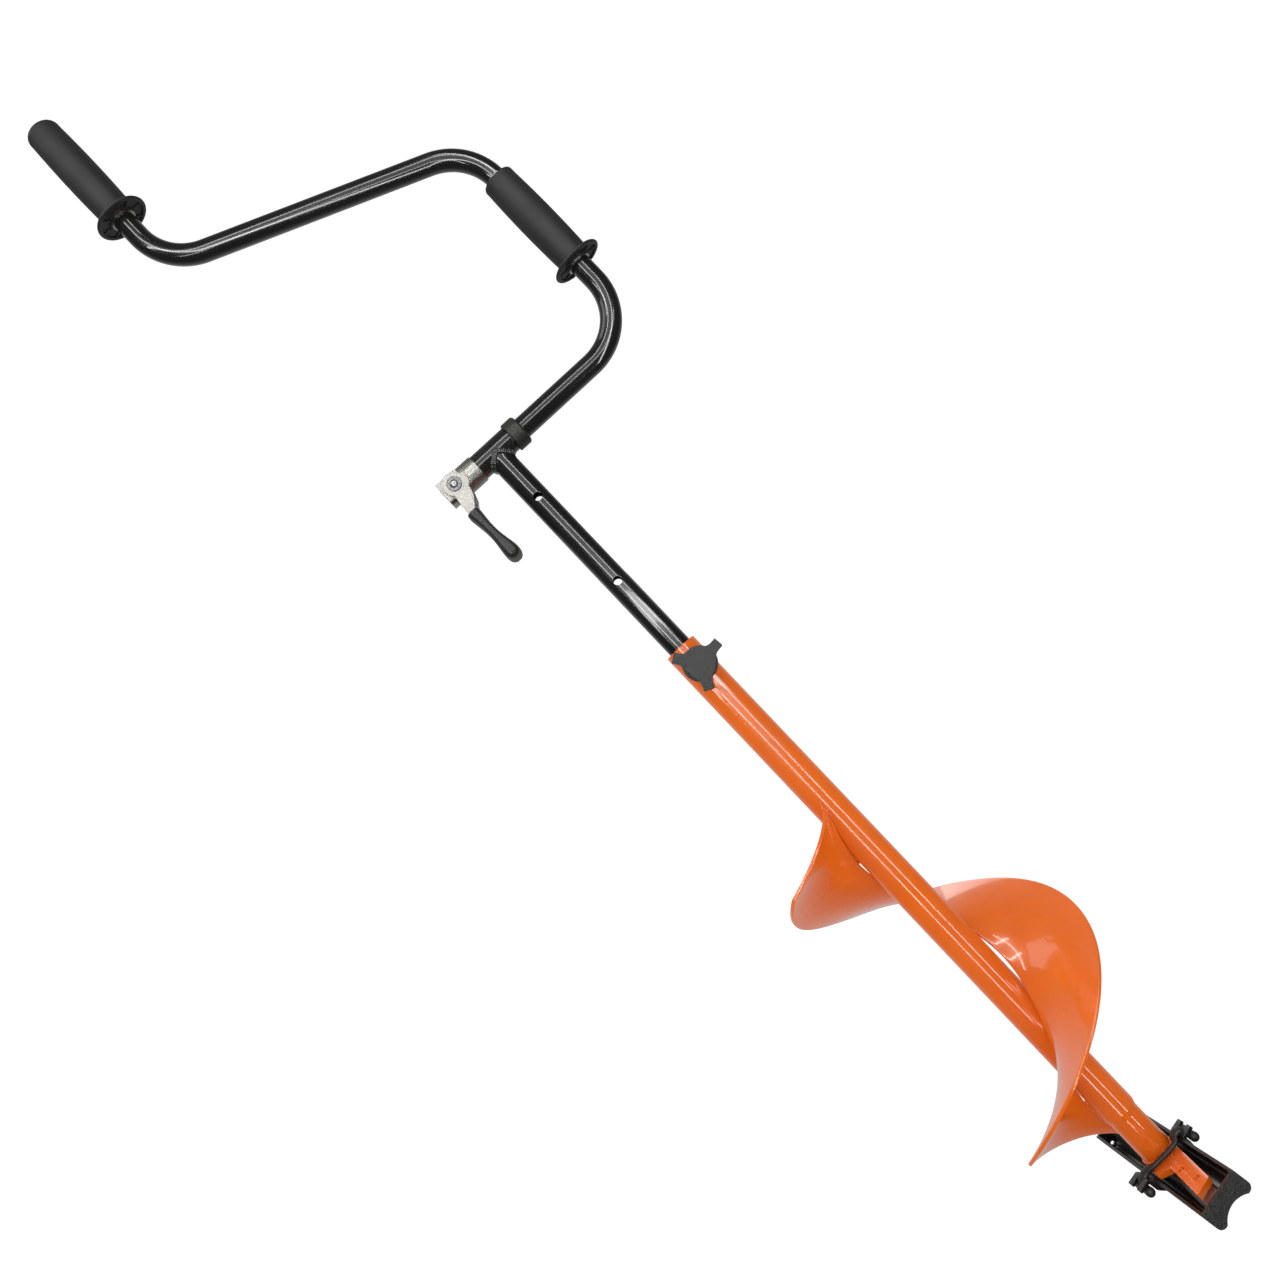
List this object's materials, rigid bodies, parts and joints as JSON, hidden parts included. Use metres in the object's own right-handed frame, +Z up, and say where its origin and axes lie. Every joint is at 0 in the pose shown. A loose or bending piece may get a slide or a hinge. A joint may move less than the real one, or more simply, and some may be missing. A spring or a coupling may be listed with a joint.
{
  "type": "ice fishing auger",
  "caption": "Hand ice auger with a spiral flight on a drill tube, a telescoping post, a folding crank with spinning grips and a strapped trough over its blades.",
  "frame": {"origin": "on the drill axis, where a rack clip holds the drill tube, 340 mm below the crank socket's axis", "axes": "+Z up the drill axis towards the crank, +X towards the lower grip in the crank's plane, -Y the way the lock knob points"},
  "size_m": [0.315, 0.1955, 1.317],
  "materials": {
    "orange_paint": "gloss",
    "black_paint": "gloss",
    "zinc_steel": "satin",
    "blade_steel": "ground",
    "grip_rubber": "matte",
    "strap_rubber": "satin",
    "black_plastic": "satin",
    "guard_plastic": "gloss outside, grained ends",
    "bush_plastic": "matte"
  },
  "bodies": {
    "shaft": {"main_tube": "orange_paint", "guide_bush": "bush_plastic", "lock_nut": "orange_paint", "flight": "orange_paint", "blade_plate": "orange_paint", "blade_front": "blade_steel", "blade_rear": "blade_steel", "blade_screws": "zinc_steel", "guard_strap": "strap_rubber"},
    "post": {"post_tube": "black_paint", "socket_tube": "black_paint", "socket_weld": "black_paint", "post_foot": "black_plastic"},
    "crank": {"crank_tube": "black_paint", "crank_collar": "black_plastic", "collar_pin": "zinc_steel", "draw_plug": "zinc_steel", "lever_pin": "zinc_steel", "upper_end_plug": "black_plastic", "grip_rings": "zinc_steel"},
    "clamp": {"clamp_sleeve": "zinc_steel"},
    "lever": {"lever_frame": "zinc_steel", "lever_grip": "black_plastic"},
    "top_handle": {"upper_grip": "grip_rubber"},
    "side_handle": {"lower_grip": "grip_rubber"},
    "knob": {"star_knob": "black_plastic"},
    "screw": {"lock_screw": "zinc_steel"},
    "guard": {"blade_guard": "guard_plastic"}
  },
  "joints": [
    {"name": "post_slide", "type": "slide", "parent": "shaft", "child": "post", "axis": [0, 0, 1], "range_m": [-0.1, 0.1]},
    {"name": "crank_fold", "type": "hinge", "parent": "post", "child": "crank", "pos_m": [0, 0, 0.34], "axis": [-1, 0, 0], "range_deg": [0, 170]},
    {"name": "top_handle_spin", "type": "hinge", "parent": "crank", "child": "top_handle", "pos_m": [-0.0976, 0, 0.75], "axis": [0, 0, 1], "continuous": true},
    {"name": "side_handle_spin", "type": "hinge", "parent": "crank", "child": "side_handle", "pos_m": [0.1684, 0, 0.46], "axis": [0, 0, 1], "continuous": true},
    {"name": "lever_swing", "type": "hinge", "parent": "crank", "child": "lever", "pos_m": [-0.045, 0, 0.34], "axis": [0, 1, 0], "range_deg": [0, 95]},
    {"name": "sleeve_slide", "type": "slide", "parent": "crank", "child": "clamp", "axis": [-1, 0, 0], "range_m": [0, 0.0016]},
    {"name": "screw_travel", "type": "slide", "parent": "shaft", "child": "screw", "axis": [0, -1, 0], "range_m": [0, 0.0076]},
    {"name": "knob_turn", "type": "hinge", "parent": "screw", "child": "knob", "pos_m": [0, -0.035, 0.0845], "axis": [0, -1, 0], "range_deg": [0, 1800]},
    {"name": "guard_pull", "type": "slide", "parent": "shaft", "child": "guard", "axis": [0, 0, -1], "range_m": [0, 0.03], "deforming": ["guard_strap"]}
  ],
  "couplings": [
    {"joint": "sleeve_slide", "follows": "lever_swing", "m_per_rad": 0.0009},
    {"joint": "screw_travel", "follows": "knob_turn", "m_per_rad": 0.00023873}
  ]
}
